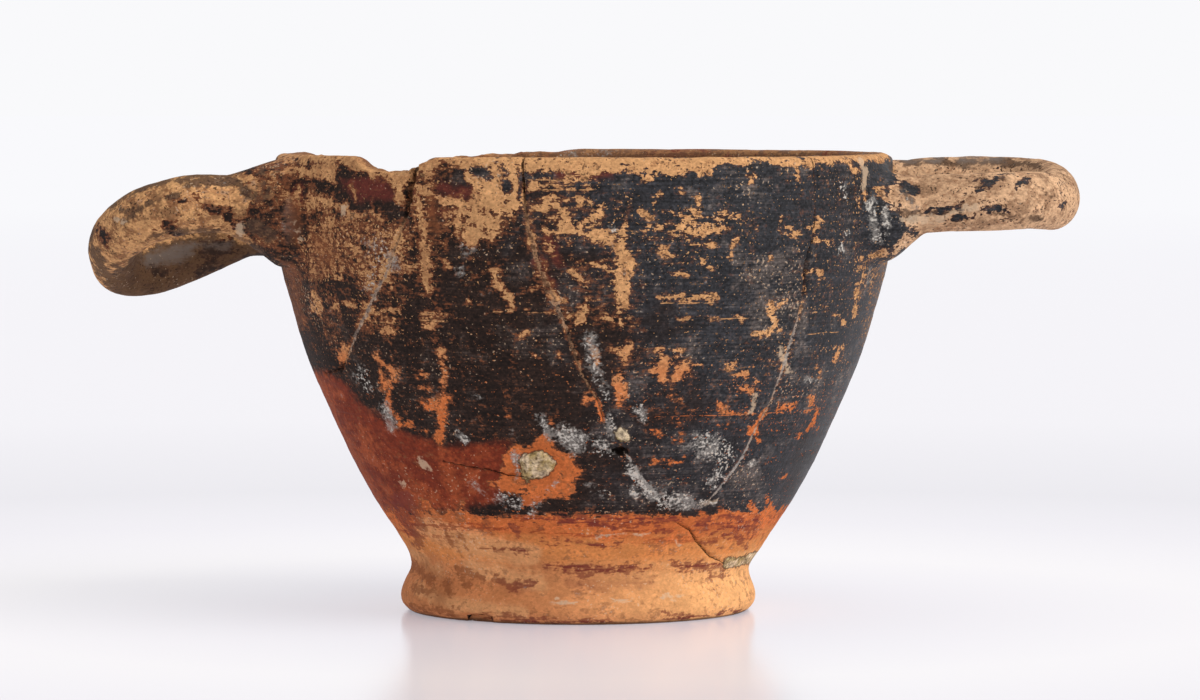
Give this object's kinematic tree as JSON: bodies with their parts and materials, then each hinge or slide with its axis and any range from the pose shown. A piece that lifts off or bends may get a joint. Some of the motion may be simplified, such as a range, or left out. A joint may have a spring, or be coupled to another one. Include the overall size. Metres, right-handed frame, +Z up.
{
  "type": "two-handled clay drinking cup (skyphos)",
  "caption": "Deep turned drinking cup on a ring foot with a loop handle each side of the rim, black-glazed, mended and worn.",
  "frame": {"origin": "middle of the cup's overall box, on the surface that the ring foot stands on", "axes": "+X through the handles to the level one, +Y away from the side with the rim chip, +Z up"},
  "size_m": [0.1768, 0.11, 0.0816],
  "materials": {
    "glazed_clay": "worn black gloss over orange-tan fired clay, satin where the gloss survives and matt where it is lost"
  },
  "bodies": {
    "root": {"skyphos": "glazed_clay"}
  },
  "joints": []
}
